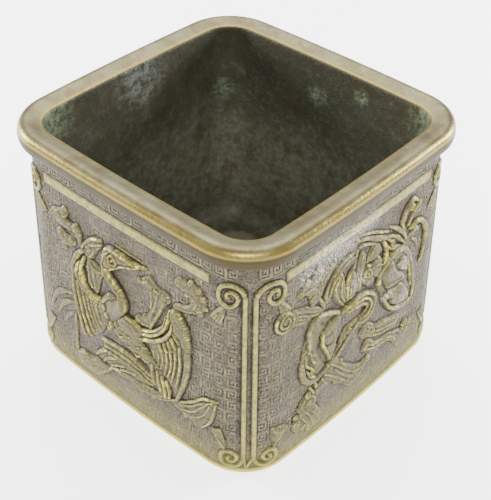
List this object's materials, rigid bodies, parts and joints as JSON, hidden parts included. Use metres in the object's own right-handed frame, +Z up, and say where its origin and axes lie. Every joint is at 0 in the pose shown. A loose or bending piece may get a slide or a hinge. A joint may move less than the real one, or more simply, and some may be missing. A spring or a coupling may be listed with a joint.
{
  "type": "bronze censer",
  "caption": "Open square bronze censer with rounded corners, a proud rim, scrolled corner strips and birds in low relief on its walls.",
  "frame": {"origin": "middle of the underside, on the surface that the censer stands on", "axes": "+Z up; the wall with the spread-winged phoenix faces -Y, and +X points to the right of it"},
  "size_m": [0.11, 0.108, 0.09],
  "materials": {
    "worn_bronze": "worn cast bronze, grey-brown ground with raised parts rubbed to gold, dark green patina inside"
  },
  "bodies": {
    "root": {"censer": "worn_bronze"}
  },
  "joints": []
}
